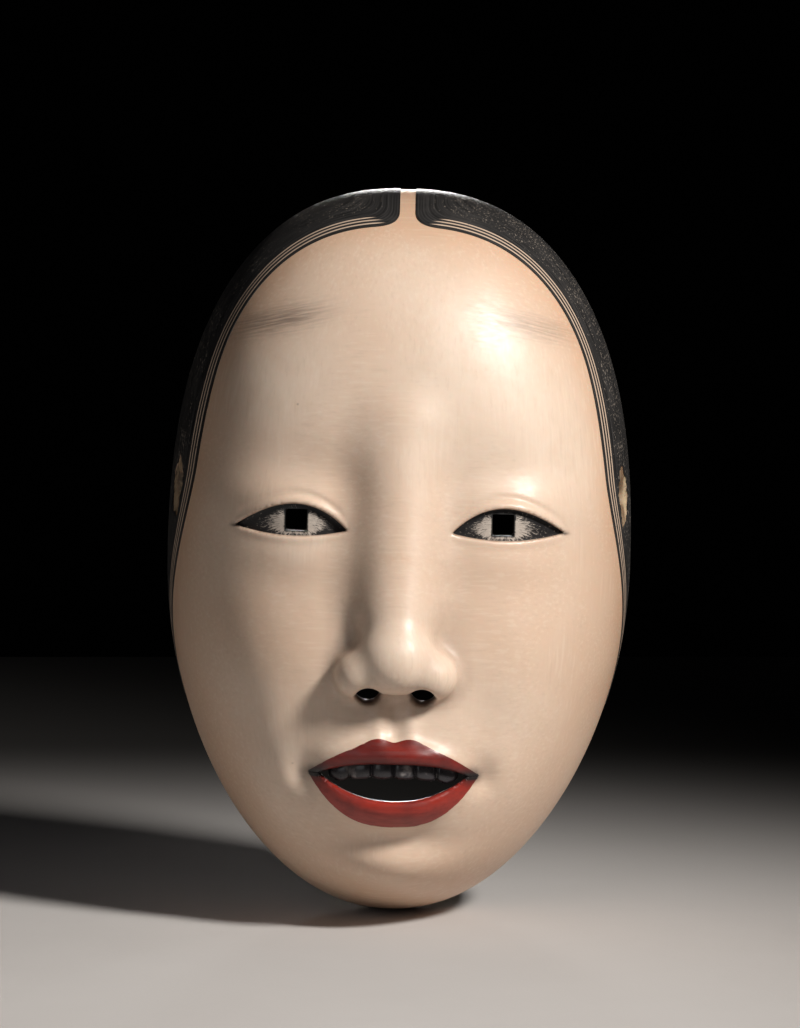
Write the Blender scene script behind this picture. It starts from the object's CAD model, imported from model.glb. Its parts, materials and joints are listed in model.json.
"""Looks of a noh mask of the young-woman type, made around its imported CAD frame.

Lengths are in millimetres until MM turns them into metres. +Z is up and the face looks along -Y.
The outside of the mask is one function, outside(x, y, z): negative in the mask, zero on its surface
and roughly a distance near it. Its surface is drawn out once as a fine mesh. The skin is that mesh
with a thickness, and the hair and the lips are thin films of paint cut from it and laid on it. The
wood is a second such function, and the back lacquer is a film on its hollow side.
"""

import json
import math

import bmesh
import bpy
import numpy as np
import openvdb
from mathutils import Matrix, Vector


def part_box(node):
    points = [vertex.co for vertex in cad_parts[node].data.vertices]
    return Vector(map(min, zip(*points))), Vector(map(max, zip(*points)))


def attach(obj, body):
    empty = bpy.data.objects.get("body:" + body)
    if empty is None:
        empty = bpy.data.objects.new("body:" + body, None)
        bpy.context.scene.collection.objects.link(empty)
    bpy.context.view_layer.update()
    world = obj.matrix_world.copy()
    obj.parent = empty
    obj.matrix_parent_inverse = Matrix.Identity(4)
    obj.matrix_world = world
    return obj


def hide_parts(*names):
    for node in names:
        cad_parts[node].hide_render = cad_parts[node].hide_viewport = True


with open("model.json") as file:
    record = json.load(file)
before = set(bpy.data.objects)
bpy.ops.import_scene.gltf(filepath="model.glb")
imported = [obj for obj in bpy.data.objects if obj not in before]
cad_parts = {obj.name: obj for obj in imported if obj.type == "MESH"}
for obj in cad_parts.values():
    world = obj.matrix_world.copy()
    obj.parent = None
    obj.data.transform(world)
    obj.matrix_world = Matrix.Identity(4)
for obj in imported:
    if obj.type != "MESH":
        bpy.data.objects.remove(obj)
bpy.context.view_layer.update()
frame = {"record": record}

MM = 0.001
RECORD = frame["record"]
OPENINGS = {row["name"]: np.array(row["box_m"]) / MM for row in RECORD["physics"]["openings"]}


def node_box(node):
    """Lowest and highest corner of a CAD node, in millimetres."""
    low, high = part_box(node)
    return np.array(low) / MM, np.array(high) / MM


def opening_middle(name):
    return OPENINGS[name].mean(axis=0)


# ---------------------------------------------------------------- sizes, from the frame

TOP = node_box("face_coat")[1][2]
BOTTOM = node_box("face_coat")[0][2]
HALF_WIDTH = node_box("hair_coat_right")[1][0]
HALF_HEIGHT = (TOP - BOTTOM) / 2
CENTRE = (TOP + BOTTOM) / 2
DOME = 56.0                     # depth of the plain dome, before the features are added
WALL, RIM = 8.0, 7.0            # wood behind the face, and width of the flat back rim

HAIR_BAND = 12.0                # hair over the forehead on the centre line
HAIRLINE = TOP - HAIR_BAND
THIRD = (HAIRLINE - BOTTOM) / 3
BROW = HAIRLINE - THIRD
NOSE_BASE = BROW - THIRD
NOSE_TIP = NOSE_BASE + 10.0
EYE_LEVEL = BROW - THIRD * 0.28
MOUTH = NOSE_BASE - THIRD / 3
CHIN = BOTTOM + THIRD * 0.2

EYE_INNER = node_box("eye_coat_right")[0][0]
EYE_OUTER = node_box("eye_coat_right")[1][0]
EYE_RISE, EYE_SAG = 6.9, 2.1
PUPIL = opening_middle("pupil_right")
PUPIL_SIDE = 6.2

CORNER = (node_box("upper_lip")[0][2] + node_box("lower_lip")[1][2]) / 2
LIP_HALF = node_box("upper_lip")[1][0]
MOUTH_HALF = LIP_HALF - 2.5
OPEN_TOP, OPEN_BOTTOM = 3.4, -7.6
LIP_TOP, LIP_BOTTOM = 9.8, -15.0

NOSTRIL = opening_middle("nostril_right")
CORD = opening_middle("cord_hole_right")
CORD_RADIUS = 3.5

PARTING = 2.3
HAIR_DEPTH = 29.0
HAIR_END = node_box("hair_coat_right")[0][2]

SKIN_DEEP = 0.8                 # thickness of the skin piece
SKIN_IN_HOLES = 2.8             # how far the skin turns into the eyes, the mouth and the nostrils
WOOD_UNDER = 1.3                # depth of the wood's surface under the skin's
EYE_FLOOR = 3.2                 # depth of the eye sockets in the skin
EYE_DEEP = 2.1                  # depth of the painted eyeball under the plain face
HAIR_FILM, LIP_FILM = 0.24, 0.16
LACQUER_FILM = 0.25
FILM_GAP = 0.03                 # between a film of paint and the surface under it

FINE, COARSE, DEEP = 0.68, 1.45, 0.9    # lattice steps: across features, elsewhere, and along Y
WOOD_STEP, WOOD_DEEP = 1.15, 1.0        # the same for the wood
FAR = 30.0                      # distances are cut off here

PAD_SIZES = {"forehead_pad": (46.0, 14.5), "cheek_pad_left": (16.5, 24.5),
             "cheek_pad_right": (16.5, 24.5)}
PAD_THICK = 5.6
PAD_SQUARE = 5                  # power of the superellipse round a pad
PAD_SWELL = 1.3                 # most that the cloth simulation moves a pad's surface
PAD_FRAMES = 12
THREAD = 0.26                   # radius
STITCH_STEPS, STITCH_SIDES = 9, 6

CAMERA_LENS, CAMERA_SENSOR = 180, 36
CAMERA_RISE = 2.0               # degrees above the mask's own level
CAMERA_ROLL = 1.5
MASK_SHARE = 0.7082             # of the picture's height
FLOOR_LEAN = 4.0                # how far the mask leans back from upright


# ---------------------------------------------------------------- shape functions


def smooth(low, high, value):
    """0 below low, 1 above high, and a smooth rise between."""
    t = np.clip((value - low) / (high - low), 0, 1)
    return t * t * (3 - 2 * t)


def bell(value, middle, width, power=2.0):
    return np.exp(-np.abs((value - middle) / width) ** power)


def soft_max(a, b, blend):
    h = np.clip(0.5 + 0.5 * (a - b) / blend, 0, 1)
    return b + (a - b) * h + blend * h * (1 - h)


def soft_min(a, b, blend):
    return -soft_max(-a, -b, blend)


def superellipse(x, z, half_wide, half_tall, power):
    """0 in the middle and 1 on the outline."""
    return (np.abs(x / half_wide) ** power + np.abs(z / half_tall) ** power) ** (1 / power)


def ellipsoid(x, y, z, middle, radii):
    """Near-distance to an ellipsoid's surface."""
    px, py, pz = (v - m for v, m in zip((x, y, z), middle))
    near = np.sqrt((px / radii[0]) ** 2 + (py / radii[1]) ** 2 + (pz / radii[2]) ** 2)
    slope = np.sqrt((px / radii[0] ** 2) ** 2 + (py / radii[1] ** 2) ** 2 + (pz / radii[2] ** 2) ** 2)
    return near * (near - 1) / np.maximum(slope, 1e-6)


def tapered_rod(x, y, z, start, end, radius_start, radius_end):
    """Near-distance to a rod whose radius changes from end to end."""
    start, end = np.array(start), np.array(end)
    along = end - start
    px, py, pz = x - start[0], y - start[1], z - start[2]
    t = np.clip((px * along[0] + py * along[1] + pz * along[2]) / (along @ along), 0, 1)
    away = np.sqrt((px - t * along[0]) ** 2 + (py - t * along[1]) ** 2 + (pz - t * along[2]) ** 2)
    return away - (radius_start + (radius_end - radius_start) * t)


def edge_share(x, z, inset=0.0):
    """0 at the middle of the mask's outline and 1 on it, or on a line inset from it."""
    up = (z - CENTRE) / (HALF_HEIGHT - inset)
    power = 2.12 + 0.24 * smooth(-0.5, 0.5, up)
    jaw = 1 - 0.09 * np.clip(-up, 0, 1) ** 2
    return superellipse(x, up, (HALF_WIDTH - inset) * jaw, 1, power)


def dome_power(x, z):
    """How square the dome is: soft at the sides, fuller at the forehead, fullest at the chin."""
    wide, tall = (x / HALF_WIDTH) ** 2, ((z - CENTRE) / HALF_HEIGHT) ** 2
    upright = tall / np.maximum(wide + tall, 1e-6)
    end = 3.6 + 2.0 * smooth(0.3, -0.3, (z - CENTRE) / HALF_HEIGHT)
    return 2.8 + (end - 2.8) * upright


# Soft swellings (+) and hollows (-) on both sides: height, centre and width across and up.
SWELLINGS = (
    (-1.5, 56, 12, 20, 26),                     # temples
    (-2.4, 24, 16, EYE_LEVEL + 10, 11),         # eye sockets
    (-1.0, 13, 7, EYE_LEVEL + 7, 10),           # beside the root of the nose
    (3.6, 31, 17, EYE_LEVEL + 6, 8),            # upper lids
    (1.2, 30, 15, EYE_LEVEL - 9, 6),            # lower lids
    (2.6, 36, 20, -44, 24),                     # cheeks
    (-1.0, 26, 7, NOSE_BASE - 8, 12),           # folds from nose to mouth
    (-2.4, MOUTH_HALF + 4, 4.5, CORNER, 5.5),   # corners of the mouth
    (0.9, MOUTH_HALF + 11, 8, CORNER - 2, 11),  # flesh beside the corners
)
# The same on the centre line: height, width, and centre and width up.
CENTRAL = (
    (1.2, 30, 45, 26),                          # forehead
    (4.2, 26, MOUTH, 18),                       # muzzle
    (-2.8, 17, MOUTH - 20, 4.8),                # crease under the lower lip
    (5.4, 18, CHIN, 11),                        # chin
)


def lip_top(x):
    bow = 1.2 * bell(np.abs(x), 5.5, 4.0) - 0.6 * bell(x, 0, 2.6)
    fall = 1 - (np.abs(x) / LIP_HALF) ** 1.9
    return CORNER + 0.5 + (LIP_TOP - 0.5 + bow) * fall


def lip_bottom(x):
    return CORNER - 0.5 + (LIP_BOTTOM + 0.5) * (1 - (np.abs(x) / LIP_HALF) ** 2.6)


def opening_top(x):
    return CORNER + OPEN_TOP * (1 - (np.abs(x) / MOUTH_HALF) ** 3)


def opening_bottom(x):
    return CORNER + OPEN_BOTTOM * (1 - (np.abs(x) / MOUTH_HALF) ** 2.2)


def lips(x, z):
    """Swelling of the two lips, with a fine raised border, and the groove under the nose."""
    taper = smooth(LIP_HALF + 2, 6, np.abs(x))
    upper = 2.7 * taper * bell(z, opening_top(x) + 2.4, 3.6)
    lower = 3.6 * taper * bell(z, opening_bottom(x) - 3.2, 4.2)
    border = 0.3 * taper * (bell(z, lip_top(x), 1.3) + bell(z, lip_bottom(x), 1.6))
    groove = -1.1 * bell(x, 0, 2.6) + 0.5 * bell(np.abs(x), 4.8, 2.2)
    level = smooth(NOSE_BASE + 1, NOSE_BASE - 4, z) * smooth(MOUTH + 6, MOUTH + 11, z)
    return upper + lower + border + groove * level


def eye_share(x):
    return (np.abs(x) - EYE_INNER) / (EYE_OUTER - EYE_INNER)


def upper_lid(x):
    t = eye_share(x)
    return EYE_LEVEL - 1.6 + 0.6 * t + EYE_RISE * 4 * t * (1 - t) * (1 + 0.35 * (0.5 - t))


def lower_lid(x):
    t = eye_share(x)
    return EYE_LEVEL - 1.6 + 0.6 * t - EYE_SAG * 4 * t * (1 - t)


def lids(x, z):
    """The thin margin of the upper lid, the fold over it, and a faint margin below."""
    t = np.clip(eye_share(x), 0, 1)
    ends = 4 * t * (1 - t)
    above = z - upper_lid(x)
    margin = 0.55 * bell(above, 0.9, 1.1) * ends ** 0.5
    fold = -0.5 * bell(above, 3.3, 0.9) * ends ** 0.7
    below = 0.3 * bell(lower_lid(x) - z, 1.0, 1.1) * ends ** 0.5
    return margin + fold + below


def relief(x, z):
    """Height of the features over the plain dome, apart from the nose."""
    total = lips(x, z) + lids(x, z)
    for height, across, wide, level, tall in SWELLINGS:
        total = total + height * bell(np.abs(x), across, wide) * bell(z, level, tall)
    for height, wide, level, tall in CENTRAL:
        total = total + height * bell(x, 0, wide) * bell(z, level, tall)
    return total * smooth(1.0, 0.86, edge_share(x, z))


def dome_value(share_to_power, lift, y, depth):
    forward = np.maximum(-(y + lift), 0)
    return share_to_power + (forward / depth) ** 2 - 1


def dome_distance(x, y, z, depth, inset, lift_of):
    """Near-distance to the dome pushed forward by lift_of(x, z). Its wall runs straight back."""
    step = 0.25

    def level(x, z):
        share = edge_share(x, z, inset)
        return share ** dome_power(x, z), lift_of(x, z)

    here, lift = level(x, z)
    value = dome_value(here, lift, y, depth)
    beside, beside_lift = level(x + step, z)
    above, above_lift = level(x, z + step)
    slope_x = dome_value(beside, beside_lift, y, depth) - value
    slope_z = dome_value(above, above_lift, y, depth) - value
    slope_y = dome_value(here, lift, y + step, depth) - value
    slope = np.sqrt(slope_x ** 2 + slope_y ** 2 + slope_z ** 2) / step
    return value / np.maximum(slope, 0.004)


def plain_face(x, y, z):
    """The mask's outside without its nose, eyes, mouth or holes."""
    return dome_distance(x, y, z, DOME, 0.0, relief)


def nose(x, y, z):
    """Bridge, tip and wings, in one soft form."""
    side = np.abs(x)
    bridge = tapered_rod(x, y, z, (0, -47.5, BROW + 8), (0, -60.3, NOSE_TIP + 3), 7.4, 9.8)
    tip = ellipsoid(x, y, z, (0, -63.2, NOSE_TIP - 0.4), (9.6, 9.0, 8.6))
    wing = ellipsoid(side, y, z, (10.6, -59.2, NOSE_BASE + 5.8), (6.8, 8.6, 6.8))
    return soft_min(soft_min(bridge, tip, 6.0), wing, 4.6)


def nostril_hole(x, y, z):
    """Positive inside: an oval that opens forward and down, then runs straight back."""
    side = np.abs(x)
    front = -ellipsoid(side, y, z, (NOSTRIL[0] - 0.3, -62.0, NOSE_BASE - 0.2), (3.5, 7.5, 2.9))
    across, up = (side - NOSTRIL[0]) / 3.6, (z - NOSTRIL[2] + 0.6) / 3.0
    back = (1 - np.sqrt(across ** 2 + up ** 2)) * 3.0
    return soft_max(front, np.minimum(back, y + 62.0), 1.0)


def eye_opening(x, z):
    """Positive inside the almond of an eye, as a distance from the lids' edges."""
    t = eye_share(x)
    steep = np.sqrt(1 + (EYE_RISE * 4 * (1 - 2 * t) / (EYE_OUTER - EYE_INNER)) ** 2)
    inside = soft_min((upper_lid(x) - z) / steep, z - lower_lid(x), 0.5)
    return np.clip(inside, -FAR, FAR)


def mouth_opening(x, z):
    """Positive inside the open mouth, as a distance from the lips' edges."""
    return np.clip(soft_min(opening_top(x) - z, z - opening_bottom(x), 0.8), -FAR, FAR)


def in_mouth(x, y, z):
    """1 on the walls of the open mouth and 0 on the lips' outer faces."""
    return np.where(face(x, y, z) < -0.8, 1.0, 0.0) * smooth(-1, 0.3, mouth_opening(x, z))


def cord_hole(x, y, z):
    away = np.sqrt((y - CORD[1]) ** 2 + (z - CORD[2]) ** 2)
    return np.where(np.abs(x) > HALF_WIDTH / 2, CORD_RADIUS - away, -FAR)


def rubbed_edge(x, y, z):
    """Distance outside the ragged patch that the cord has rubbed bare round its hole."""
    back, up = y - CORD[1] - 1.0, z - CORD[2]
    turn = np.arctan2(up, back) + np.where(x > 0, 0.0, 1.9)
    ragged = 0.55 * np.sin(3 * turn + 1) + 0.4 * np.sin(7 * turn + 2) + 0.3 * np.sin(13 * turn)
    ragged = ragged + 0.22 * np.sin(29 * turn + 1)
    away = np.hypot(back * 1.15, up * 0.62) - 5.3 - ragged
    return np.where(np.abs(x) > HALF_WIDTH / 2, away, FAR)


def face(x, y, z):
    """The mask's outside with its nose, before anything is cut."""
    blend = 4.5 + 8.5 * smooth(NOSE_BASE + 8, NOSE_TIP + 18, z)
    return soft_min(plain_face(x, y, z), nose(x, y, z), blend)


def outside(x, y, z):
    whole = face(x, y, z)
    eyes = np.minimum(eye_opening(x, z), whole + EYE_FLOOR)
    cut = soft_max(whole, eyes, 0.7)
    cut = soft_max(cut, mouth_opening(x, z), 0.9)
    cut = soft_max(cut, nostril_hole(x, y, z), 1.2)
    cut = cut + 0.6 * smooth(0.3, -1.2, rubbed_edge(x, y, z))
    return soft_max(cut, cord_hole(x, y, z), 1.4)


def chisel(x, z):
    """Shallow scallops left by a gouge in the hollow, in wandering rows."""
    wander = 1.6 * np.sin(0.11 * z + 0.3 * np.sin(0.09 * x)) + 1.1 * np.sin(0.047 * z + 1.3)
    rows = (x + wander) / 7.5
    row = np.floor(rows)
    strokes = (z + 9.0 * np.sin(2.4 * row)) / (22.0 + 5.0 * np.sin(1.7 * row))
    across = 4 * (rows - row) * (1 - rows + row)
    share = strokes - np.floor(strokes)
    along = 0.65 + 0.35 * np.sin(math.pi * share)
    return 0.55 * across * along * (0.8 + 0.2 * np.sin(3.1 * row + 2.0 * np.floor(strokes)))


def hollow_lift(x, z):
    room = 7.5 * bell(x, 0, 11) * bell(z, NOSE_TIP + 6, 20)
    return room + chisel(x, z) - 0.35


def hollow(x, y, z):
    """Near-distance to the carved hollow: negative in the open space."""
    return dome_distance(x, y, z, DOME - WALL, RIM, hollow_lift)


def pupil_hole(x, z):
    side = PUPIL_SIDE / 2
    return side - soft_max(np.abs(np.abs(x) - PUPIL[0]), np.abs(z - PUPIL[2]), 0.8)


def wood(x, y, z):
    """The carved block: under the skin, in front of the hollow, and flat at the back."""
    body = outside(x, y, z) + WOOD_UNDER
    body = soft_max(body, -hollow(x, y, z), 1.2)
    body = soft_max(body, pupil_hole(x, z), 0.8)
    body = soft_max(body, mouth_opening(x, z) + 0.4, 0.8)
    return soft_max(body, y, 1.0)


# ---------------------------------------------------------------- hair and lips on the surface


def crown_angle(x, z):
    return np.arctan2((z - CENTRE) / HALF_HEIGHT, np.abs(x) / HALF_WIDTH)


def hair_reach(x, y, z):
    """How far a place on the wall lies behind the hairline, measured along Y."""
    end = math.asin((HAIR_END - CENTRE) / HALF_HEIGHT)
    share = (crown_angle(x, z) - end) / (math.pi / 2 - end)
    depth = 0.5 + HAIR_DEPTH * smooth(-0.06, 0.34, share) + 3.5 * smooth(0.5, 1.0, share)
    return depth + y


def behind_hairline(x, y, z):
    """Distance on the surface behind the hairline, leaving the parting out."""
    return hair_reach(x, y, z) / surface_slope(hair_reach, x, y, z)


def hair_side(x, y, z):
    """Positive in the hair, with a rounded corner where the hairline meets the parting."""
    return np.minimum(soft_min(behind_hairline(x, y, z), np.abs(x) - PARTING, 7.0), z - HAIR_END)


def surface_slope(field, x, y, z):
    """Steepness of a field along the mask's surface, so that field / slope is a distance on it."""
    normal = gradient(face, x, y, z)
    normal /= np.linalg.norm(normal, axis=0)
    slope = gradient(field, x, y, z)
    slope = slope - normal * (slope * normal).sum(axis=0)
    return np.maximum(np.linalg.norm(slope, axis=0), 0.05)


def upper_lip_side(x, y, z):
    """Positive on the red of the upper lip."""
    return np.minimum(lip_top(x) - z, z - CORNER - 0.15)


def lower_lip_side(x, y, z):
    return np.minimum(z - lip_bottom(x), CORNER - 0.15 - z)


# ---------------------------------------------------------------- drawing out a surface


def gradient(field, x, y, z, step=0.05):
    return np.stack([
        field(x + step, y, z) - field(x - step, y, z),
        field(x, y + step, z) - field(x, y - step, z),
        field(x, y, z + step) - field(x, y, z - step),
    ]) / (2 * step)


def spaced(low, high, coarse, fine=0.0, zones=()):
    """Lattice places from low to high, with the fine step inside the zones."""
    path = np.linspace(low, high, 4001)
    step = np.full_like(path, coarse)
    for first, last in zones:
        inside = smooth(first - 4, first, path) * smooth(last + 4, last, path)
        step = np.minimum(step, coarse + (fine - coarse) * inside)
    count = np.concatenate([[0], np.cumsum((path[1] - path[0]) / (step[1:] / 2 + step[:-1] / 2))])
    total = int(math.ceil(count[-1]))
    return np.interp(np.linspace(0, count[-1], total + 1), count, path)


def settle(field, points, rounds=4):
    """Moves points onto the field's zero surface."""
    for _ in range(rounds):
        value = field(*points.T)
        slope = gradient(field, *points.T).T
        length = np.maximum((slope ** 2).sum(axis=1), 0.05)
        move = slope * (value / length)[:, None]
        size = np.linalg.norm(move, axis=1, keepdims=True)
        points = points - move * np.minimum(1, 0.4 / np.maximum(size, 1e-9))
    return points


def draw_out(field, rough, xs, ys, zs, near):
    """Triangles of the field's zero surface, from its values on a lattice.

    rough is a cheaper field, exact where |rough| is over near.
    """
    grid_x, grid_y, grid_z = xs[:, None, None], ys[None, :, None], zs[None, None, :]
    values = np.asarray(rough(grid_x, grid_y, grid_z), np.float64)
    values = np.clip(values, -FAR, FAR)
    close = near(values, grid_x, grid_y, grid_z)
    i, j, k = np.nonzero(close)
    for start in range(0, len(i), 400_000):
        part = slice(start, start + 400_000)
        a, b, c = i[part], j[part], k[part]
        values[a, b, c] = np.clip(field(xs[a], ys[b], zs[c]), -FAR, FAR)
    grid = openvdb.FloatGrid(FAR)
    grid.copyFromArray(values.astype(np.float32))
    points, _, quads = grid.convertToPolygons(isovalue=0.0, adaptivity=0.0)
    places = [np.interp(points[:, axis], np.arange(len(line)), line)
              for axis, line in enumerate((xs, ys, zs))]
    points = settle(field, np.stack(places, axis=1))
    first = np.linalg.norm(points[quads[:, 0]] - points[quads[:, 2]], axis=1)
    second = np.linalg.norm(points[quads[:, 1]] - points[quads[:, 3]], axis=1)
    turned = np.where((first > second)[:, None], np.roll(quads, 1, axis=1), quads)
    triangles = np.concatenate([turned[:, [0, 1, 2]], turned[:, [0, 2, 3]]]).astype(np.int64)
    corners = points[triangles]
    facing = np.cross(corners[:, 1] - corners[:, 0], corners[:, 2] - corners[:, 0])
    outward = gradient(field, *corners.mean(axis=1).T).T
    if (facing * outward).sum() < 0:
        triangles = triangles[:, ::-1]
    return points, triangles


def clip(points, triangles, side):
    """The part of a mesh where side >= 0, cut along the line where it is zero."""
    side = np.where(np.abs(side) < 1e-3, 1e-3, side)
    inside = side[triangles] > 0
    count = inside.sum(axis=1)
    one, two = triangles[count == 1], triangles[count == 2]
    one_in, two_in = inside[count == 1], inside[count == 2]
    lead = np.argmax(one_in, axis=1)
    one = np.take_along_axis(one, (lead[:, None] + np.arange(3)) % 3, axis=1)
    lead = np.argmin(two_in, axis=1)
    two = np.take_along_axis(two, (lead[:, None] + np.arange(3)) % 3, axis=1)
    crossed = np.concatenate([one[:, [0, 1]], one[:, [0, 2]], two[:, [0, 1]], two[:, [0, 2]]])
    pairs, index = np.unique(np.sort(crossed, axis=1), axis=0, return_inverse=True)
    share = side[pairs[:, 0]] / (side[pairs[:, 0]] - side[pairs[:, 1]])
    fresh = points[pairs[:, 0]] + (points[pairs[:, 1]] - points[pairs[:, 0]]) * share[:, None]
    index = index.reshape(-1) + len(points)
    n, m = len(one), len(two)
    one_b, one_c = index[:n], index[n:2 * n]
    two_b, two_c = index[2 * n:2 * n + m], index[2 * n + m:]
    made = np.concatenate([
        triangles[count == 3],
        np.stack([one[:, 0], one_b, one_c], axis=1),
        np.stack([two_b, two[:, 1], two[:, 2]], axis=1),
        np.stack([two_b, two[:, 2], two_c], axis=1),
    ])
    points = np.concatenate([points, fresh])
    used, compact = np.unique(made, return_inverse=True)
    return points[used], compact.reshape(-1, 3)


def film(points, triangles, normals, low, high):
    """A closed layer over a sheet, between two heights above it. The upper face comes first."""
    ends = np.concatenate([triangles[:, [0, 1]], triangles[:, [1, 2]], triangles[:, [2, 0]]])
    _, index, count = np.unique(np.sort(ends, axis=1), axis=0, return_inverse=True,
                                return_counts=True)
    border = ends[count[index.reshape(-1)] == 1]
    size = len(points)
    a, b = border[:, 0], border[:, 1]
    walls = np.concatenate([np.stack([b, a, a + size], axis=1),
                            np.stack([b, a + size, b + size], axis=1)])
    every = np.concatenate([triangles, triangles[:, ::-1] + size, walls])
    return np.concatenate([points + normals * high, points + normals * low]), every


def normals_of(field, points):
    slope = gradient(field, *points.T).T
    return slope / np.maximum(np.linalg.norm(slope, axis=1, keepdims=True), 1e-9)


def add_mesh(name, points, faces, sharp=50):
    """An object from points in millimetres."""
    mesh = bpy.data.meshes.new(name)
    mesh.from_pydata((np.asarray(points) * MM).tolist(), [], np.asarray(faces).tolist())
    mesh.shade_smooth()
    if sharp:
        mesh.set_sharp_from_angle(angle=math.radians(sharp))
    made = bpy.data.objects.new(name, mesh)
    bpy.context.scene.collection.objects.link(made)
    return made


def add_values(piece, **values):
    """Stores named numbers on a mesh's points, for its material to read."""
    for name, row in values.items():
        layer = piece.data.attributes.new(name, "FLOAT", "POINT")
        layer.data.foreach_set("value", np.ascontiguousarray(row, np.float32))


def add_film(name, sheet, normals, low, high, sharp, **values):
    """A film as an object. Its values, one for each point of the sheet, go on both of its faces."""
    piece = add_mesh(name, *film(*sheet, normals, low, high), sharp=sharp)
    add_values(piece, **{key: np.concatenate([row, row]) for key, row in values.items()})
    return piece


def place(piece, node, slot, finish):
    """A piece rides on the mask, stands for its CAD node and takes its material."""
    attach(piece, "root")
    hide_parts(node)
    piece.data.materials.clear()
    piece.data.materials.append(finish)


# ---------------------------------------------------------------- material helpers


class Nodes:
    """A short way to write a node tree."""

    def __init__(self, name):
        self.material = bpy.data.materials.new(name)
        self.material.use_nodes = True
        self.tree = self.material.node_tree
        self.shader = self.tree.nodes["Principled BSDF"]
        self.position = self.add("ShaderNodeTexCoord").outputs["Object"]

    def add(self, kind, **settings):
        node = self.tree.nodes.new(kind)
        for name, value in settings.items():
            setattr(node, name, value)
        return node

    def set(self, socket, value):
        """Gives a socket a number, a colour or another node's output."""
        if isinstance(value, bpy.types.NodeSocket):
            self.tree.links.new(value, socket)
        elif isinstance(value, tuple) and len(value) == 3 and socket.type == "RGBA":
            socket.default_value = (*value, 1)
        else:
            socket.default_value = value

    def math(self, operation, a, b=0.0):
        node = self.add("ShaderNodeMath", operation=operation)
        self.set(node.inputs[0], a)
        self.set(node.inputs[1], b)
        return node.outputs[0]

    def times(self, a, b):
        return self.math("MULTIPLY", a, b)

    def plus(self, a, b):
        return self.math("ADD", a, b)

    def minus(self, a, b):
        return self.math("SUBTRACT", a, b)

    def most(self, a, b):
        return self.math("MAXIMUM", a, b)

    def pair(self, first, second):
        """Two numbers as a place for a texture."""
        node = self.add("ShaderNodeCombineXYZ")
        self.set(node.inputs[0], first)
        self.set(node.inputs[1], second)
        return node.outputs[0]

    def ramp(self, value, low, high, out_low=0.0, out_high=1.0):
        """A smooth step from out_low to out_high as value goes from low to high."""
        node = self.add("ShaderNodeMapRange", interpolation_type="SMOOTHSTEP")
        for socket, number in zip(node.inputs, (value, low, high, out_low, out_high)):
            self.set(socket, number)
        return node.outputs[0]

    def mix(self, share, a, b):
        node = self.add("ShaderNodeMix", data_type="RGBA")
        self.set(node.inputs[0], share)
        self.set(node.inputs[6], a)
        self.set(node.inputs[7], b)
        return node.outputs[2]

    def texture(self, kind, sizes, **settings):
        """A texture node with its number sockets set. It lies over the object unless told otherwise."""
        node = self.add("ShaderNodeTex" + kind, **settings)
        for name, value in {"Vector": self.position, **sizes}.items():
            self.set(node.inputs[name], value)
        return node

    def noise(self, scale, detail=4.0, roughness=0.5, stretch=(1, 1, 1), distortion=0.0, at=None):
        """Noise with scale per metre, drawn out along an axis by a small stretch number."""
        mapping = self.add("ShaderNodeMapping")
        self.set(mapping.inputs["Vector"], self.position if at is None else at)
        self.set(mapping.inputs["Scale"], stretch)
        node = self.texture("Noise", {
            "Vector": mapping.outputs[0], "Scale": scale, "Detail": detail,
            "Roughness": roughness, "Distortion": distortion})
        return node.outputs["Fac"]

    def value(self, name):
        return self.add("ShaderNodeAttribute", attribute_name=name).outputs["Fac"]

    def bump(self, height, strength, distance, under=None):
        """Bump with its depth in millimetres."""
        node = self.add("ShaderNodeBump")
        self.set(node.inputs["Height"], height)
        self.set(node.inputs["Strength"], strength)
        self.set(node.inputs["Distance"], distance * MM)
        if under is not None:
            self.set(node.inputs["Normal"], under)
        return node.outputs[0]

    def finish(self, colour, roughness, normal=None, **constants):
        self.set(self.shader.inputs["Base Color"], colour)
        self.set(self.shader.inputs["Roughness"], roughness)
        if normal is not None:
            self.set(self.shader.inputs["Normal"], normal)
        for name, value in constants.items():
            self.shader.inputs[name.replace("_", " ")].default_value = value
        return self.material


# ---------------------------------------------------------------- materials


def bare_wood(n):
    """Colour of old cypress where the coat is gone."""
    grain = n.noise(330, 4, 0.6, (1, 1, 0.1))
    grime = n.noise(150, 4, 0.65)
    colour = n.mix(n.ramp(grain, 0.3, 0.7), (0.17, 0.10, 0.055), (0.50, 0.37, 0.235))
    return n.mix(n.ramp(grime, 0.5, 0.68, 0.0, 0.8), colour, (0.045, 0.03, 0.02))


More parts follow.
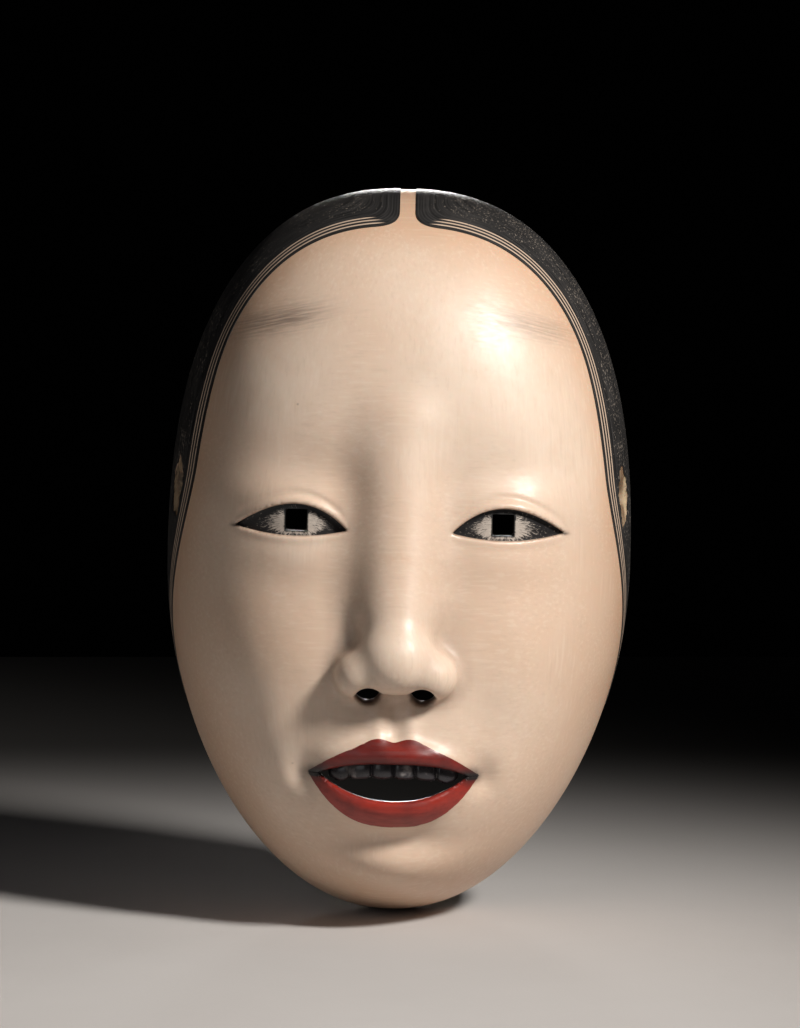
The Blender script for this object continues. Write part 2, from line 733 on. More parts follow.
def skin_material():
    n = Nodes("burnished_shell_white")
    mottle = n.noise(24, 5, 0.6)
    cloud = n.noise(95, 4, 0.6)
    fine = n.noise(300, 4, 0.6)
    across = n.noise(1000, 3, 0.6, (0.05, 1, 1), 0.15)
    upright = n.noise(1000, 3, 0.6, (1, 1, 0.05), 0.15)
    turn = n.ramp(n.noise(30, 2, 0.5), 0.44, 0.60)
    strokes = n.plus(n.times(upright, turn),
                     n.times(across, n.minus(1.0, turn)))
    base = n.mix(n.ramp(mottle, 0.33, 0.67), (0.685, 0.505, 0.385), (0.765, 0.61, 0.49))
    base = n.mix(n.times(n.value("warm"), 0.75), base, (0.62, 0.375, 0.235))
    base = n.mix(n.ramp(cloud, 0.42, 0.72, 0.0, 0.30), base, (0.60, 0.42, 0.30))
    base = n.mix(n.ramp(strokes, 0.53, 0.70, 0.0, 0.18), base, (0.50, 0.36, 0.27))
    base = n.mix(n.ramp(strokes, 0.48, 0.34, 0.0, 0.20), base, (0.82, 0.69, 0.57))
    dirt = n.times(n.value("crevice"), n.ramp(cloud, 0.3, 0.6, 0.5, 0.85))
    base = n.mix(dirt, base, (0.20, 0.125, 0.085))
    # High smudged brows: soft ink with fine hairs drawn through it.
    along, over = n.times(n.value("brow_along"), 0.10), n.times(n.value("brow_across"), 1.7)
    hairs = n.noise(1.0, at=n.pair(along, over))
    brow = n.times(n.value("brow"), n.ramp(hairs, 0.36, 0.66, 1.0, 0.3))
    base = n.mix(n.times(brow, 0.7), base, (0.10, 0.075, 0.065))
    # Ink on the edges of the lids, in the nostrils, and in the corners of the mouth.
    opening, above = n.value("eye_opening"), n.value("above_middle")
    lash = n.times(n.ramp(opening, -0.14, -0.02), n.ramp(above, -0.2, 0.2))
    under = n.times(n.ramp(opening, -0.02, 0.12), n.ramp(above, 0.2, -0.2, 0.0, 0.75))
    ink = n.most(lash, under)
    ink = n.most(ink, n.value("tail"))
    ink = n.most(ink, n.ramp(n.value("nostril"), -0.25, 0.6, 0.0, 0.97))
    ink = n.most(ink, n.ramp(n.value("mouth"), 0.05, 0.9))
    smudge = n.times(n.value("smudge"), n.ramp(cloud, 0.25, 0.6, 1.15, 0.55))
    ink = n.most(ink, smudge)
    base = n.mix(ink, base, (0.014, 0.011, 0.011))
    # Bare wood where the cord has worn the coat away.
    rubbed = n.plus(n.value("rubbed"), n.times(n.minus(fine, 0.5), 2.2))
    bare = n.ramp(rubbed, 0.15, -0.15)
    base = n.mix(bare, base, bare_wood(n))
    # Pin-head flecks of dirt.
    speck = n.texture("Voronoi", {"Scale": 60}, feature="F1")
    fleck = n.times(n.ramp(speck.outputs["Distance"], 0.015, 0.04, 1.0, 0.0),
                   n.ramp(mottle, 0.50, 0.58))
    base = n.mix(n.times(fleck, 0.7), base, (0.09, 0.06, 0.045))
    rough = n.plus(n.ramp(strokes, 0.3, 0.7, 0.37, 0.49), n.times(bare, 0.3))
    rough = n.plus(rough, n.ramp(mottle, 0.35, 0.65, -0.04, 0.04))
    rough = n.most(rough, n.times(ink, 0.85))
    normal = n.bump(mottle, 0.35, 0.8)
    normal = n.bump(cloud, 0.25, 0.2, normal)
    normal = n.bump(strokes, 0.22, 0.08, normal)
    normal = n.bump(bare, -0.8, 0.4, normal)
    return n.finish(base, rough, normal, Subsurface_Weight=0.10, Subsurface_Scale=0.002,
                    Specular_IOR_Level=0.45, Coat_Weight=0.07, Coat_Roughness=0.28)


def hair_gaps(n, behind, side):
    """Three fine flesh-coloured strand gaps behind the hairline, pointed where they start."""
    wobble = n.times(n.minus(n.noise(45, 2, 0.5), 0.5), 0.35)
    shifted = n.plus(behind, wobble)
    gaps = 0.0
    for middle, start in ((1.5, 4.4), (3.0, 5.4), (4.4, 7.2)):
        half = n.ramp(side, PARTING + start - 2.0, PARTING + start + 3.0, -0.10, 0.27)
        away = n.math("ABSOLUTE", n.minus(shifted, middle))
        line = n.ramp(n.minus(away, half), -0.05, 0.07, 1.0, 0.0)
        gaps = n.most(gaps, line)
    return n.times(gaps, n.ramp(n.noise(420, 3, 0.6), 0.26, 0.36, 0.35, 1.0))


def hair_flecks(n, behind, along, wear):
    """Pin-head chips that run with the brush strokes, most of them near the rim."""
    chips = 0.0
    for across, down, reach, keep in ((0.85, 0.42, 0.20, 0.70), (1.7, 0.95, 0.24, 0.55)):
        spot = n.pair(n.times(behind, across), n.times(along, down))
        cells = n.texture("Voronoi", {"Vector": spot, "Scale": 1.0}, feature="F1",
                          voronoi_dimensions="2D")
        lot = n.add("ShaderNodeSeparateColor")
        n.set(lot.inputs[0], cells.outputs["Color"])
        chosen = n.math("GREATER_THAN", n.plus(lot.outputs[0], wear), keep + 0.46)
        size = n.times(lot.outputs[1], reach)
        dot = n.ramp(n.minus(cells.outputs["Distance"], size), -0.05, 0.03, 1.0, 0.0)
        chips = n.most(chips, n.times(dot, chosen))
    return chips


def hair_material():
    n = Nodes("hair_ink")
    edge, behind, along = n.value("edge"), n.value("behind"), n.value("along")
    gaps = hair_gaps(n, behind, n.value("side"))
    # Brush strokes that follow the hair.
    stroke = n.noise(1.0, 5.0, 0.6, at=n.pair(n.times(edge, 2.4), n.times(along, 0.06)))
    patch = n.noise(60, 4, 0.6)
    ink = n.mix(n.ramp(stroke, 0.36, 0.70), (0.012, 0.0115, 0.0115), (0.046, 0.043, 0.042))
    ink = n.mix(n.ramp(patch, 0.48, 0.7, 0.0, 0.5), ink, (0.052, 0.048, 0.046))
    wear = n.times(n.value("rub"), n.ramp(patch, 0.35, 0.62, 0.35, 1.0))
    flecks = hair_flecks(n, behind, along, n.times(wear, 0.75))
    rim = n.times(n.ramp(n.value("from_rim"), 0.5, 1.6, 1.0, 0.0),
                 n.ramp(n.noise(210, 4, 0.65), 0.47, 0.56))
    flecks = n.most(flecks, rim)
    colour = n.mix(n.times(flecks, 0.72), ink, (0.36, 0.30, 0.245))
    colour = n.mix(gaps, colour, (0.60, 0.45, 0.34))
    rough = n.ramp(stroke, 0.3, 0.7, 0.36, 0.54)
    rough = n.plus(rough, n.times(flecks, 0.3))
    normal = n.bump(stroke, 0.45, 0.18)
    normal = n.bump(n.most(gaps, flecks), -0.7, 0.18, normal)
    return n.finish(colour, rough, normal, Coat_Weight=0.08, Coat_Roughness=0.3)


def lip_material(name, red, dark, worn_at):
    n = Nodes(name)
    broad = n.noise(75, 4, 0.6)
    fine = n.noise(700, 4, 0.6, (0.16, 1, 1))
    colour = n.mix(n.ramp(broad, 0.35, 0.68), red, dark)
    colour = n.mix(n.ramp(fine, 0.42, 0.68, 0.0, 0.55), colour, dark)
    edge = n.value("edge")
    rubbed = n.plus(n.ramp(edge, 0.0, 0.5, 0.22, 0.0), n.times(fine, 0.62))
    rubbed = n.plus(rubbed, n.times(broad, 0.35))
    scratch = n.ramp(rubbed, worn_at, worn_at + 0.06)
    colour = n.mix(n.times(scratch, 0.8), colour, (0.56, 0.33, 0.24))
    colour = n.mix(n.value("smudge"), colour, (0.012, 0.009, 0.009))
    colour = n.mix(n.ramp(n.value("mouth"), 0.1, 1.0), colour, (0.012, 0.008, 0.008))
    rough = n.ramp(fine, 0.3, 0.7, 0.30, 0.50)
    normal = n.bump(fine, 0.30, 0.12)
    normal = n.bump(scratch, -0.5, 0.10, normal)
    return n.finish(colour, rough, normal, Coat_Weight=0.15, Coat_Roughness=0.25)


def eye_material():
    n = Nodes("eye_white_and_ink")
    # Ink strokes run outwards from the pupil, dense at the lids and the corners.
    around, out = n.times(n.value("around"), 7.0), n.times(n.value("out"), 0.32)
    lines = n.noise(2.0, 4.0, 0.7, at=n.pair(around, out))
    level = n.minus(lines, n.times(n.value("shade"), 0.60))
    ink = n.ramp(level, 0.02, 0.24, 1.0, 0.0)
    fine = n.noise(700, 3, 0.6)
    white = n.mix(fine, (0.44, 0.375, 0.32), (0.62, 0.55, 0.485))
    colour = n.mix(ink, white, (0.012, 0.011, 0.012))
    chips = n.times(n.ramp(n.noise(1300, 2, 0.5), 0.63, 0.70), n.ramp(ink, 0.2, 0.8))
    colour = n.mix(n.times(chips, 0.35), colour, (0.5, 0.43, 0.37))
    colour = n.mix(n.value("hole"), colour, (0.006, 0.006, 0.006))
    rough = n.ramp(fine, 0.3, 0.7, 0.34, 0.50)
    return n.finish(colour, rough, n.bump(level, 0.25, 0.10), Coat_Weight=0.08, Coat_Roughness=0.3)


def teeth_material():
    n = Nodes("blackened_teeth")
    scuff = n.noise(330, 4, 0.62, (0.3, 1, 0.5))
    patch = n.noise(90, 3, 0.6)
    black = n.mix(patch, (0.010, 0.009, 0.011), (0.034, 0.031, 0.036))
    pale = n.times(n.ramp(scuff, 0.53, 0.66), n.ramp(patch, 0.40, 0.58))
    pale = n.times(pale, n.value("front"))
    colour = n.mix(n.times(pale, 0.55), black, (0.34, 0.31, 0.30))
    rough = n.ramp(scuff, 0.3, 0.7, 0.22, 0.42)
    return n.finish(colour, rough, n.bump(scuff, 0.3, 0.15), Coat_Weight=0.3, Coat_Roughness=0.15)


def wood_material():
    n = Nodes("carved_cypress")
    grain = n.noise(330, 5, 0.6, (1, 1, 0.06), 0.4)
    rings = n.texture("Wave", {"Scale": 75, "Distortion": 7.0, "Detail": 3.0, "Detail Scale": 0.6},
                      wave_type="BANDS", bands_direction="X")
    broad = n.noise(40, 4, 0.6)
    colour = n.mix(grain, (0.36, 0.225, 0.115), (0.60, 0.43, 0.26))
    late = n.ramp(rings.outputs["Fac"], 0.5, 1.0, 0.0, 0.35)
    colour = n.mix(late, colour, (0.27, 0.15, 0.07))
    colour = n.mix(n.ramp(broad, 0.45, 0.75, 0.0, 0.5), colour, (0.17, 0.10, 0.055))
    colour = n.mix(n.value("inked"), colour, (0.006, 0.005, 0.005))
    height = n.plus(grain, n.times(rings.outputs["Fac"], 0.4))
    rough = n.ramp(grain, 0.3, 0.7, 0.55, 0.75)
    return n.finish(colour, rough, n.bump(height, 0.4, 0.3))


def lacquer_material():
    n = Nodes("dark_back_lacquer")
    broad = n.noise(45, 5, 0.6)
    brush = n.noise(260, 4, 0.6, (1, 1, 0.07), 0.3)
    colour = n.mix(n.ramp(broad, 0.3, 0.7), (0.030, 0.016, 0.010), (0.075, 0.040, 0.022))
    high = n.value("ridge")
    rubbed = n.ramp(n.plus(high, n.times(brush, 0.9)), 1.22, 1.5, 0.0, 0.55)
    colour = n.mix(rubbed, colour, (0.20, 0.11, 0.055))
    rough = n.plus(n.ramp(brush, 0.3, 0.7, 0.24, 0.42), n.times(rubbed, 0.2))
    normal = n.bump(brush, 0.3, 0.25)
    return n.finish(colour, rough, normal, Coat_Weight=0.35, Coat_Roughness=0.2)


def pad_material():
    n = Nodes("pad_cotton")
    warp, weft = (n.texture("Wave", {"Scale": 340, "Distortion": 0.6}, wave_type="BANDS",
                            bands_direction=way) for way in "XZ")
    weave = n.times(warp.outputs["Fac"], weft.outputs["Fac"])
    broad = n.noise(70, 4, 0.6)
    colour = n.mix(n.ramp(broad, 0.35, 0.65), (0.50, 0.43, 0.33), (0.36, 0.28, 0.19))
    colour = n.mix(n.ramp(weave, 0.1, 0.6, 0.45, 0.0), colour, (0.20, 0.15, 0.10))
    rough = n.ramp(broad, 0.3, 0.7, 0.82, 0.95)
    return n.finish(colour, rough, n.bump(weave, 0.5, 0.25), Sheen_Weight=0.3,
                    Sheen_Roughness=0.5)


def thread_material():
    n = Nodes("sewing_thread")
    twist = n.noise(2500, 3, 0.6)
    colour = n.mix(twist, (0.30, 0.22, 0.14), (0.58, 0.48, 0.36))
    return n.finish(colour, n.ramp(twist, 0.3, 0.7, 0.6, 0.8), n.bump(twist, 0.5, 0.1))


# ---------------------------------------------------------------- pieces


def make_surface():
    """The mask's whole outside as one open sheet, down to the rim and a little way into the holes."""
    xs = spaced(-HALF_WIDTH - 2.5, HALF_WIDTH + 2.5, COARSE, FINE, [(-50, 50)])
    ys = spaced(-76.0, 2.5, DEEP)
    zs = spaced(BOTTOM - 2.5, TOP + 2.5, COARSE, FINE, [
        (EYE_LEVEL - 7, EYE_LEVEL + 11), (NOSE_BASE - 5, NOSE_TIP + 5),
        (CORNER + LIP_BOTTOM - 3, CORNER + LIP_TOP + 3)])

    def near(values, x, y, z):
        centre = (np.abs(x) < 27) & (z > NOSE_BASE - 12) & (z < BROW + 14) & (y < -48)
        eyes = (np.abs(x) < 50) & (z > EYE_LEVEL - 6) & (z < EYE_LEVEL + 9)
        mouth = (np.abs(x) < 28) & (z > CORNER - 11) & (z < CORNER + 8)
        cords = (np.abs(y - CORD[1]) < 6) & (np.abs(z - CORD[2]) < 6)
        deep = (values > -11) & (values < 3)
        return (np.abs(values) < 3) | (deep & (eyes | mouth | cords)) | (centre & (values > -14))

    points, triangles = draw_out(outside, plain_face, xs, ys, zs, near)
    points, triangles = clip(points, triangles, -points[:, 1])
    return clip(points, triangles, face(*points.T) + SKIN_IN_HOLES)


def crevice_share(points, normals):
    """How enclosed a place is: 1 in a sharp fold and 0 on open skin."""
    reach = 2.2
    return np.clip((reach - face(*(points + normals * reach).T)) / 1.6, 0, 1) ** 1.2


def corner_smudge(x, z):
    """Ink that has gathered in the corners of the mouth."""
    away = np.hypot((np.abs(x) - MOUTH_HALF - 0.6) * 0.75, (z - CORNER - 0.2) * 1.35)
    seam = bell(z, CORNER, 0.9) * smooth(LIP_HALF + 1.5, LIP_HALF - 0.5, np.abs(x))
    return np.maximum(bell(away, 0, 3.2, 2.2), 2 * seam)


def skin_values(points, normals):
    """Numbers on the skin that its material turns into paint, dirt and wear."""
    x, y, z = points.T
    side = np.abs(x)
    warm = 0.70 * smooth(0.66, 1.0, edge_share(x, z)) + 0.30 * bell(side, 40, 20) * bell(z, -40, 26)
    warm = warm + 0.40 * bell(hair_side(x, y, z), 0, 7)
    warm = warm + 0.20 * bell(side, 31, 20) * bell(z, EYE_LEVEL + 8, 7)
    brow_along, brow_across = side - 36, z - HAIRLINE + 27 + 0.20 * (side - 36)
    brow = bell(brow_along, 0, 13.0, 2.6) * bell(brow_across + 0.4, 0, 3.6)
    faint = np.where(x > 0, 0.55, 1.0)
    near_eye = smooth(EYE_INNER - 2.5, EYE_INNER, side) * smooth(EYE_OUTER + 2.5, EYE_OUTER, side)
    tail = bell(z, EYE_LEVEL - 1.05, 0.5) * smooth(EYE_OUTER - 1.5, EYE_OUTER, side) * near_eye
    return {
        "warm": np.clip(warm, 0, 1), "crevice": crevice_share(points, normals),
        "brow": brow * faint, "brow_along": brow_along, "brow_across": brow_across,
        "eye_opening": np.where(near_eye > 0, np.clip(eye_opening(x, z), -4, 4), -4),
        "above_middle": z - (upper_lid(x) + lower_lid(x)) / 2, "tail": tail,
        "nostril": np.clip(nostril_hole(x, y, z), -4, 4),
        "mouth": in_mouth(x, y, z), "smudge": corner_smudge(x, z),
        "rubbed": np.clip(rubbed_edge(x, y, z), -6, 6),
    }


def grid_triangles(rows, columns, keep=None):
    """Triangles over a grid of points, counted along its columns first."""
    i, j = (v.ravel() for v in np.meshgrid(np.arange(rows - 1), np.arange(columns - 1), indexing="ij"))
    a = (i * columns + j)[slice(None) if keep is None else keep.ravel()]
    quads = np.stack([a, a + columns, a + columns + 1, a + 1], axis=1)
    return np.concatenate([quads[:, [0, 1, 2]], quads[:, [0, 2, 3]]])


def forward(points):
    """The normal of a sheet that is seen from the front, once for each point."""
    return np.tile([0.0, -1.0, 0.0], (len(points), 1))


def make_skin(sheet, finish):
    normals = normals_of(outside, sheet[0])
    piece = add_film("skin", sheet, normals, -SKIN_DEEP, 0.0, 80, **skin_values(sheet[0], normals))
    place(piece, "face_coat", "shell_white_flesh", finish)


def make_hair(sheet, side, sign, finish):
    points, triangles = sheet
    points, triangles = clip(points, triangles, sign * points[:, 0])
    points, triangles = clip(points, triangles, hair_side(*points.T))
    points, triangles = clip(points, triangles, rubbed_edge(*points.T))
    x, y, z = points.T
    behind = behind_hairline(x, y, z)
    upper = smooth(-0.75, -0.1, (z - CENTRE) / HALF_HEIGHT)
    piece = add_film(
        f"hair_{side}", (points, triangles), normals_of(outside, points), FILM_GAP, HAIR_FILM, 40,
        edge=hair_side(x, y, z), behind=behind, side=np.abs(x), from_rim=-y,
        along=(math.pi / 2 - crown_angle(x, z)) * (HALF_WIDTH + HALF_HEIGHT) / 2,
        rub=smooth(4.5, 11.0, behind) * smooth(PARTING + 3, PARTING + 14, np.abs(x)) * upper)
    place(piece, f"hair_coat_{side}", "hair_ink", finish)


def make_lip(sheet, name, side_of, finish):
    points, triangles = sheet
    points, triangles = clip(points, triangles, LIP_HALF - np.abs(points[:, 0]))
    points, triangles = clip(points, triangles, side_of(*points.T))
    x, y, z = points.T
    piece = add_film(
        name, (points, triangles), normals_of(outside, points), 0.02, LIP_FILM, 40,
        edge=side_of(x, y, z), smudge=corner_smudge(x, z), mouth=in_mouth(x, y, z))
    place(piece, name, "lip_red", finish)


def face_front(x, z):
    """Depth y of the plain face's surface at places seen from the front."""
    low, high = np.full_like(x, -80.0), np.zeros_like(x)
    for _ in range(24):
        middle = (low + high) / 2
        outer = plain_face(x, middle, z) > 0
        low, high = np.where(outer, middle, low), np.where(outer, high, middle)
    return (low + high) / 2


def make_eye(side, sign, finish):
    """The painted eyeball behind the lids, pierced by its square pupil."""
    half = PUPIL_SIDE / 2
    over = 1.4
    xs = np.concatenate([np.linspace(EYE_INNER - over, PUPIL[0] - half, 26),
                         np.linspace(PUPIL[0] - half, PUPIL[0] + half, 13)[1:],
                         np.linspace(PUPIL[0] + half, EYE_OUTER + over, 32)[1:]])
    zs = np.concatenate([np.linspace(EYE_LEVEL - 6.5, PUPIL[2] - half, 9),
                         np.linspace(PUPIL[2] - half, PUPIL[2] + half, 13)[1:],
                         np.linspace(PUPIL[2] + half, EYE_LEVEL + 7.5, 9)[1:]])
    grid_x, grid_z = (line.ravel() for line in np.meshgrid(xs, zs, indexing="ij"))
    bulge = 0.8 * bell(grid_x, (EYE_INNER + EYE_OUTER) / 2, 15) * bell(grid_z, PUPIL[2], 6)
    surface = np.maximum(face_front(grid_x, grid_z), -DOME - 4)
    points = np.stack([grid_x, surface + EYE_DEEP - bulge, grid_z], axis=1)
    mid_x, mid_z = np.meshgrid((xs[:-1] + xs[1:]) / 2, (zs[:-1] + zs[1:]) / 2, indexing="ij")
    keep = ~((np.abs(mid_x - PUPIL[0]) < half) & (np.abs(mid_z - PUPIL[2]) < half))
    keep &= eye_opening(mid_x, mid_z) > -over
    used, compact = np.unique(grid_triangles(len(xs), len(zs), keep), return_inverse=True)
    points, triangles = points[used], compact.reshape(-1, 3)
    x, _, z = points.T
    from_hole = np.maximum(np.abs(x - PUPIL[0]), np.abs(z - PUPIL[2])) - half
    opening = eye_opening(x, z)
    level = np.clip((z - lower_lid(x)) / np.maximum(upper_lid(x) - lower_lid(x), 0.5), 0, 1)
    far = smooth(2.0, 13.0, np.abs(x - PUPIL[0]))
    shade = 0.34 + 0.35 * smooth(1.4, 0.1, opening) + 0.45 * smooth(0.55, 1.0, level) + 0.62 * far
    shade += 0.5 * smooth(0.35, 0.0, from_hole)
    piece = add_film(
        f"eye_{side}", (points * (sign, 1, 1), triangles[:, ::sign]), forward(points), -1.0, 0.0, 40,
        around=np.arctan2(z - PUPIL[2], (x - PUPIL[0]) * 0.6), shade=np.clip(shade, 0, 1.25),
        out=np.hypot(x - PUPIL[0], z - PUPIL[2]), hole=smooth(0.22, 0.02, from_hole))
    place(piece, f"eye_coat_{side}", "eye_white_and_ink", finish)


def make_teeth(finish):
    """A curved row of blackened teeth, each crown slightly domed."""
    low, high = node_box("upper_teeth")
    half, front, thick, count = high[0], low[1], 2.1, 6
    xs = np.linspace(-half, half, 161)
    ups = np.linspace(0, 1, 17)
    grid_x, grid_up = (line.ravel() for line in np.meshgrid(xs, ups, indexing="ij"))
    pitch = 2 * half / count
    share = np.abs(grid_x / pitch % 1 - 0.5) * 2
    top = opening_top(grid_x) - 0.3
    room = top - opening_bottom(grid_x) - 0.3
    drop = np.minimum(4.2, 0.75 * room)
    crown = drop * (1 - 0.14 * share ** 3)
    z = top - crown * (1 - grid_up)
    arch = grid_x ** 2 / 70
    dome = 0.75 * (1 - share ** 2.6) + 0.35 * np.sin(math.pi * np.clip(grid_up * 0.8, 0, 1))
    groove = -0.5 * bell(share, 1.0, 0.16)
    y = front + 1.1 + arch - dome - groove + 0.5 * smooth(0.18, 0.0, grid_up)
    points = np.stack([grid_x, y, z], axis=1)
    piece = add_film("teeth", (points, grid_triangles(len(xs), len(ups))), forward(points),
                     -thick, 0.0, 60, front=smooth(0.0, 0.2, grid_up))
    place(piece, "upper_teeth", "tooth_black", finish)


def make_wood():
    """The wooden core as a closed mesh: seen at the rim, in the holes and under the lacquer."""
    xs = spaced(-HALF_WIDTH - 1, HALF_WIDTH + 1, WOOD_STEP)
    ys = spaced(-74.0, 2.0, WOOD_DEEP)
    zs = spaced(BOTTOM - 1, TOP + 1, WOOD_STEP)

    def rough(x, y, z):
        """Solid down to about the wall's depth, and open space under that."""
        depth = plain_face(x, y, z)
        return np.maximum(depth, -(depth + 12))

    def near(values, x, y, z):
        centre = (np.abs(x) < 27) & (z > NOSE_BASE - 12) & (z < BROW + 14) & (y < -40)
        return (values < 6) | centre

    return draw_out(wood, rough, xs, ys, zs, near)


def make_core(sheet, finish):
    piece = add_mesh("wood", *sheet, sharp=0)
    x, y, z = sheet[0].T
    holes = np.maximum(pupil_hole(x, z), mouth_opening(x, z) + 0.4)
    holes = np.maximum(holes, nostril_hole(x, y, z) + WOOD_UNDER)
    add_values(piece, inked=smooth(-1.6, -0.6, holes))
    place(piece, "wood_core", "cypress_wood", finish)


def make_lacquer(sheet, finish):
    points, triangles = sheet
    x, y, z = points.T
    lacquered = np.minimum(2 - 2 * np.abs(hollow(x, y, z)), -y - 0.9)
    lacquered = np.minimum(lacquered, -outside(x, y, z) - 2.4)
    points, triangles = clip(points, triangles, lacquered)
    piece = add_film("lacquer", (points, triangles), normals_of(wood, points), FILM_GAP,
                     LACQUER_FILM, 0, ridge=1 - chisel(points[:, 0], points[:, 2]) / 0.5)
    place(piece, "back_lacquer", "back_lacquer", finish)


# ---------------------------------------------------------------- pads


def hollow_slopes(x, z):
    """Slopes of the hollow's surface across and up, without its chisel marks, round one place."""
    step = 4.0

    def depth(x, z):
        low, high = -80.0, 0.0
        for _ in range(30):
            middle = (low + high) / 2
            outer = float(dome_distance(x, middle, z, DOME - WALL, RIM, lambda a, b: 0 * a)) > 0
            low, high = (middle, high) if outer else (low, middle)
        return (low + high) / 2

    across = (depth(x + step, z) - depth(x - step, z)) / (2 * step)
    up = (depth(x, z + step) - depth(x, z - step)) / (2 * step)
    return across, up


def puffed(piece):
    """Swells a pad by cloth simulation, caps how far it moves, and keeps the result as its mesh."""
    remesh = piece.modifiers.new("remesh", "REMESH")
    remesh.mode = "VOXEL"
    remesh.voxel_size = 1.0 * MM
    apply_modifiers(piece)
    before = np.array([v.co for v in piece.data.vertices])
    cloth = piece.modifiers.new("cloth", "CLOTH")
    cloth.settings.use_pressure = True
    cloth.settings.uniform_pressure_force = 4.0
    cloth.settings.effector_weights.gravity = 0.0
    cloth.settings.tension_stiffness = 15
    cloth.settings.compression_stiffness = 15
    cloth.point_cache.frame_start, cloth.point_cache.frame_end = 1, PAD_FRAMES
    for number in range(1, PAD_FRAMES + 1):
        bpy.context.scene.frame_set(number)
    bpy.context.view_layer.update()
    apply_modifiers(piece)
    after = np.array([v.co for v in piece.data.vertices])
    move = after - before
    size = np.linalg.norm(move, axis=1, keepdims=True)
    capped = move * np.minimum(1, PAD_SWELL * MM / np.maximum(size, 1e-9))
    piece.data.vertices.foreach_set("co", (before + capped).ravel())
    bpy.context.scene.frame_set(1)


def apply_modifiers(piece):
    bpy.context.view_layer.update()
    graph = bpy.context.evaluated_depsgraph_get()
    mesh = bpy.data.meshes.new_from_object(piece.evaluated_get(graph))
    piece.modifiers.clear()
    old = piece.data
    piece.data = mesh
    bpy.data.meshes.remove(old)


def pillow(name, wide, thick, tall):
    """A closed pillow with rounded corners, lying in the XZ plane."""
    shape = bmesh.new()
    bmesh.ops.create_cube(shape, size=2)
    bmesh.ops.subdivide_edges(shape, edges=shape.edges, cuts=17, use_grid_fill=True)
    for point in shape.verts:
        x, y, z = point.co
        outline = superellipse(x, z, 1, 1, PAD_SQUARE)
        reach = (outline ** 2.6 + abs(y) ** 2.6) ** (-1 / 2.6)
        point.co = (x * reach * wide / 2 * MM, y * reach * thick / 2 * MM, z * reach * tall / 2 * MM)
    mesh = bpy.data.meshes.new(name)
    shape.to_mesh(mesh)
    shape.free()
    piece = bpy.data.objects.new(name, mesh)
    bpy.context.scene.collection.objects.link(piece)
    return piece


def pad_outline(half_wide, half_tall, count):
    """Places and outward directions along the pad's edge, evenly spaced."""
    turn = np.linspace(0, 2 * math.pi, 2001)
    x, z = (half * np.sign(wave) * np.abs(wave) ** (2 / PAD_SQUARE)
            for half, wave in ((half_wide, np.cos(turn)), (half_tall, np.sin(turn))))
    run = np.concatenate([[0], np.cumsum(np.hypot(np.diff(x), np.diff(z)))])
    at = np.linspace(0, run[-1], count, endpoint=False)
    places = np.stack([np.interp(at, run, x), 0 * at, np.interp(at, run, z)], axis=1)
    out = places / (half_wide, 1, half_tall) ** np.array(2.0)
    return places, out / np.linalg.norm(out, axis=1, keepdims=True)


def sew(piece, half_wide, half_tall):
    """Puckers the pad along its seam and ties it down in three places."""
    points = np.array([v.co for v in piece.data.vertices]) / MM
    x, y, z = points.T
    share = superellipse(x, z, half_wide, half_tall, PAD_SQUARE)
    turn = np.arctan2(z / half_tall, x / half_wide)
    seam = 0.9 * bell(y, 0, 0.55) * smooth(0.80, 0.97, share)
    pucker = 0.28 * np.sin(38 * turn) * smooth(0.62, 0.95, share) * bell(y, 0, 3.0)
    out = np.stack([x / half_wide, 0.5 * np.sign(y), z / half_tall], axis=1)
    out /= np.maximum(np.linalg.norm(out, axis=1, keepdims=True), 1e-6)
    points = points + out * (seam + pucker)[:, None]
    long_way, short_way = (x, z) if half_wide > half_tall else (z, x)
    reach = max(half_wide, half_tall)
    for middle in (-0.55 * reach, 0.0, 0.55 * reach):
        away = np.hypot(long_way - middle, short_way)
        points[:, 1] -= np.sign(y) * (1.3 * bell(away, 0, 1.6) + 0.5 * bell(away, 0, 4.5))
    points[:, 1] *= 1 - 0.12 * bell(short_way, 0, 2.0)
    piece.data.vertices.foreach_set("co", (points * MM).ravel())


def stitch(place, away):
    """A half ring of thread over the seam, as rings of points from end to end."""
    along = np.cross(away, (0, 1, 0))
    rings = []
    for angle in np.linspace(-0.5 * math.pi, 0.5 * math.pi, STITCH_STEPS):
        up = np.array((0, math.sin(angle), 0))
        centre = place + away * (1.15 * math.cos(angle) - 1.0) + 1.25 * up + along * 0.35 * up[1]
        outward = away * math.cos(angle) + up
        for part in np.linspace(0, 2 * math.pi, STITCH_SIDES, endpoint=False):
            rings.append(centre + THREAD * (math.cos(part) * outward + math.sin(part) * along))
    return rings


def make_stitches(name, half_wide, half_tall, settled, finish):
    """Whip stitches of thick thread over the pad's seam."""
    count = int(2.2 * (half_wide + half_tall))
    points, faces = [], []
    for place, away in zip(*pad_outline(half_wide + 0.1, half_tall + 0.1, count)):
        first = len(points)
        points += stitch(place, away)
        last = len(points) - STITCH_SIDES
        for start in range(first, last, STITCH_SIDES):
            for k in range(STITCH_SIDES):
                a, b = start + k, start + (k + 1) % STITCH_SIDES
                faces.append((a, b, b + STITCH_SIDES, a + STITCH_SIDES))
        # Each end is a hexagon, closed by two quads.
        faces += [(first + 3, first + 2, first + 1, first), (first, first + 5, first + 4, first + 3)]
        faces += [(last, last + 1, last + 2, last + 3), (last, last + 3, last + 4, last + 5)]
    thread = add_mesh(name + "_stitches", points, faces, sharp=0)
    thread.data.transform(settled)
    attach(thread, "root")
    thread.data.materials.append(finish)


